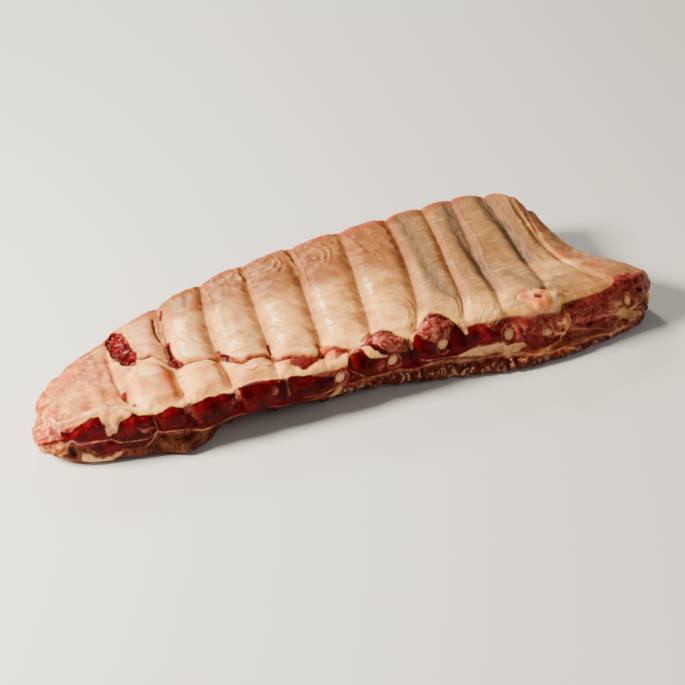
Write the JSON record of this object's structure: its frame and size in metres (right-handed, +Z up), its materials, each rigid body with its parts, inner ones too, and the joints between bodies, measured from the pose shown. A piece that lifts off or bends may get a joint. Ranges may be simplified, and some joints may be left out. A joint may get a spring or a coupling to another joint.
{
  "type": "raw pork spare ribs",
  "caption": "Raw trimmed slab of pork spare ribs lying bone side up, tapering from a thick shoulder end to a small rounded tail, with rib ends in both long cuts.",
  "frame": {"origin": "on the surface that the slab lies on, under the middle of its box", "axes": "+X along the slab to its wide shoulder end, -Y faces the cut beside the breastbone, +Z up out of the bone side"},
  "size_m": [0.42, 0.1595, 0.0425],
  "materials": {
    "meat": "moist",
    "bone": "moist"
  },
  "bodies": {
    "root": {"meat": "meat", "rib_01": "bone", "rib_02": "bone", "rib_03": "bone", "rib_04": "bone", "rib_05": "bone", "rib_06": "bone", "rib_07": "bone", "rib_08": "bone", "rib_09": "bone", "rib_10": "bone", "rib_11": "bone", "rib_12": "bone"}
  },
  "joints": []
}
